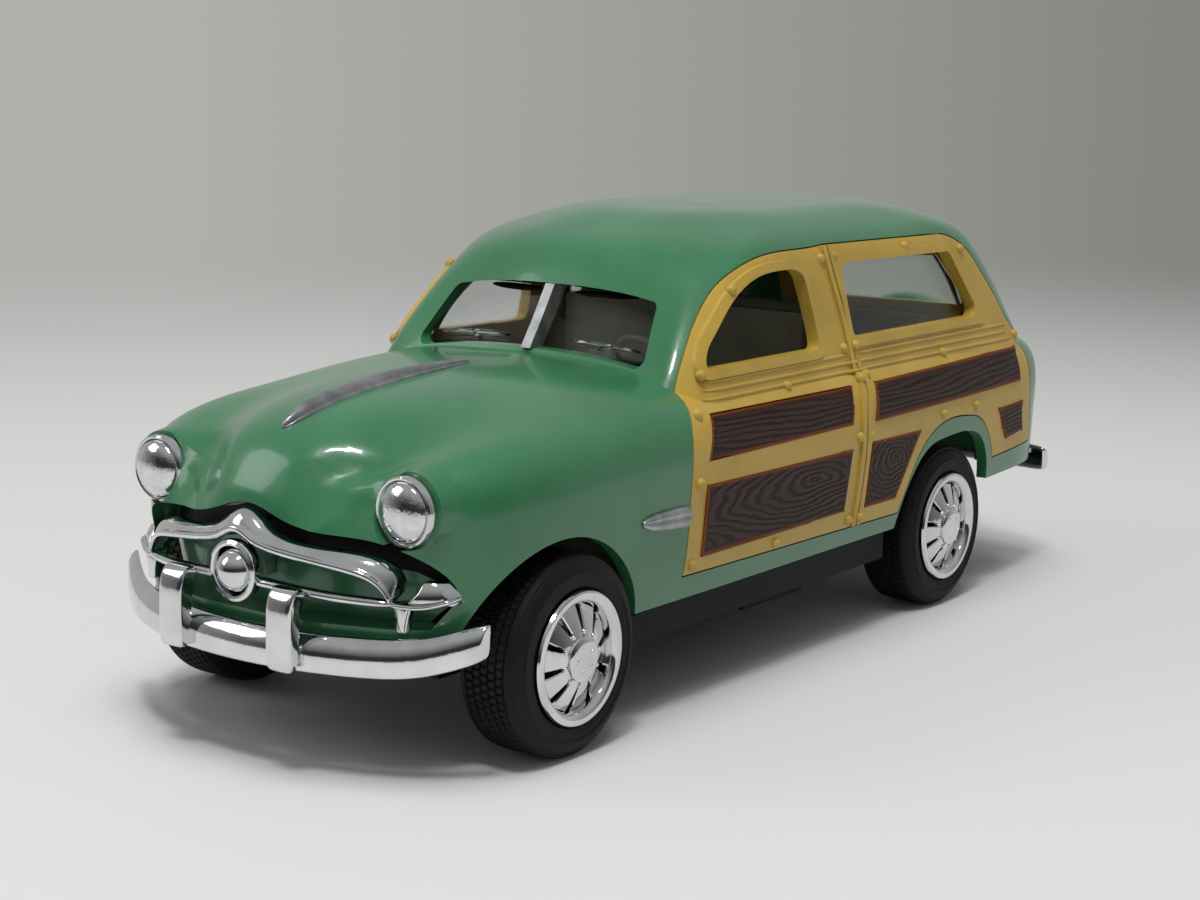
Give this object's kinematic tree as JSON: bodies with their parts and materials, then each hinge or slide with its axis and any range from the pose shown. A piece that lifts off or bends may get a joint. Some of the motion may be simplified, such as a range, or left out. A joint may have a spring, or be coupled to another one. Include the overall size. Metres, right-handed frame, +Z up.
{
  "type": "toy wood-sided station wagon",
  "caption": "Die-cast toy of a rounded post-war station wagon with moulded wood-framed sides, plated bumpers, grille and lamps, and wheels that roll on steel axles.",
  "frame": {"origin": "on the ground, midway between the front and rear bumpers, on the car's centre line", "axes": "+X to the car's left, -Y towards its nose, +Z up"},
  "size_m": [0.0454, 0.1217, 0.0446],
  "materials": {
    "green_enamel": "gloss enamel over zinc die-casting",
    "tan_plastic": "moulded plastic, satin",
    "brown_print": "printed wood grain, satin",
    "clear_plastic": "clear moulded plastic",
    "plated_plastic": "vacuum-plated plastic",
    "silver_paint": "silver paint, satin",
    "black_rubber": "matt rubber",
    "steel_rod": "drawn steel",
    "black_plastic": "matt moulded plastic",
    "cream_plastic": "matt moulded plastic",
    "red_plastic": "gloss paint"
  },
  "bodies": {
    "car": {"body_shell": "green_enamel", "spare_wheel_cover": "green_enamel", "wood_side_left": "tan_plastic", "wood_side_right": "tan_plastic", "tailgate_panel": "tan_plastic", "grain_fields_left": "brown_print", "grain_fields_right": "brown_print", "windshield": "clear_plastic", "side_glass_left": "clear_plastic", "side_glass_right": "clear_plastic", "tailgate_glass": "clear_plastic", "windshield_divider": "silver_paint", "hood_ornament": "silver_paint", "fender_spear_left": "silver_paint", "fender_spear_right": "silver_paint", "headlight_left": "plated_plastic", "headlight_right": "plated_plastic", "grille": "plated_plastic", "front_bumper": "plated_plastic", "rear_bumper": "plated_plastic", "tail_lamp_left": "red_plastic", "tail_lamp_right": "red_plastic", "interior_tub": "cream_plastic", "steering_wheel": "cream_plastic", "chassis_base": "black_plastic"},
    "front_axle_set": {"front_axle": "steel_rod", "wheel_front_left": "plated_plastic", "wheel_front_right": "plated_plastic", "tyre_front_left": "black_rubber", "tyre_front_right": "black_rubber"},
    "rear_axle_set": {"rear_axle": "steel_rod", "wheel_rear_left": "plated_plastic", "wheel_rear_right": "plated_plastic", "tyre_rear_left": "black_rubber", "tyre_rear_right": "black_rubber"}
  },
  "joints": [
    {"name": "front_axle_roll", "type": "hinge", "parent": "car", "child": "front_axle_set", "pos_m": [0, -0.04, 0.00892], "axis": [1, 0, 0], "continuous": true},
    {"name": "rear_axle_roll", "type": "hinge", "parent": "car", "child": "rear_axle_set", "pos_m": [0, 0.0294, 0.00892], "axis": [1, 0, 0], "continuous": true}
  ]
}
